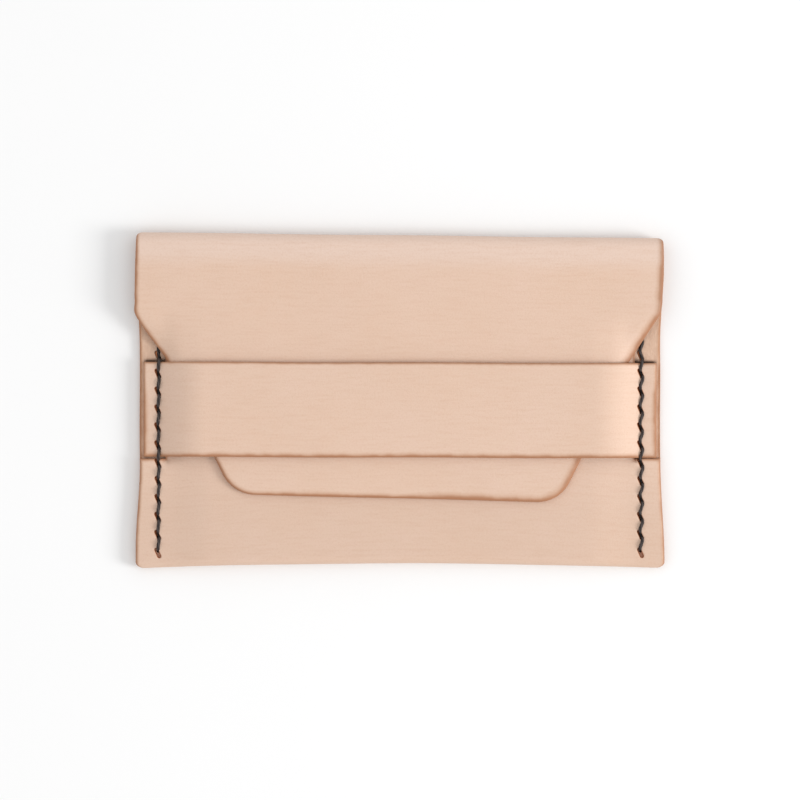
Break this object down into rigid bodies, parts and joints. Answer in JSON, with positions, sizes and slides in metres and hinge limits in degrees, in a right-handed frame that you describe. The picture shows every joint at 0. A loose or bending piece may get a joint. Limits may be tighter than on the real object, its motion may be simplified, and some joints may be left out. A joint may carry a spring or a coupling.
{
  "type": "card holder",
  "caption": "Slim folded leather card holder with side-stitched seams and a tapered flap that tucks under a front strap.",
  "frame": {"origin": "middle of the flat back face, on the plane the holder lies on, midway between the side edges", "axes": "+X along the width, +Y towards the top fold, +Z out of the front, away from the surface it lies on"},
  "size_m": [0.1019, 0.0647, 0.0055],
  "materials": {
    "leather": "natural vegetable-tanned grain, pale tan, with burnished brown edges",
    "thread": "waxed black-brown thread"
  },
  "bodies": {
    "pocket": {"back_panel": "leather", "bottom_fold": "leather", "front_panel": "leather", "strap": "leather", "thread_left": "thread", "thread_right": "thread"},
    "fold": {"top_fold": "leather"},
    "flap": {"flap_panel": "leather", "flap_tongue": "leather"}
  },
  "joints": [
    {"name": "fold_bend", "type": "hinge", "parent": "pocket", "child": "fold", "pos_m": [-0.00001, 0.03108, 0.00062], "axis": [-0.9999, 0.0117, 0], "range_deg": [0, 90]},
    {"name": "flap_fold", "type": "hinge", "parent": "fold", "child": "flap", "pos_m": [-0.00001, 0.03108, 0.00363], "axis": [-0.9999, 0.0117, 0], "range_deg": [0, 90], "deforming": ["flap_tongue"]}
  ],
  "couplings": [
    {"joint": "fold_bend", "follows": "flap_fold", "ratio": 1}
  ]
}
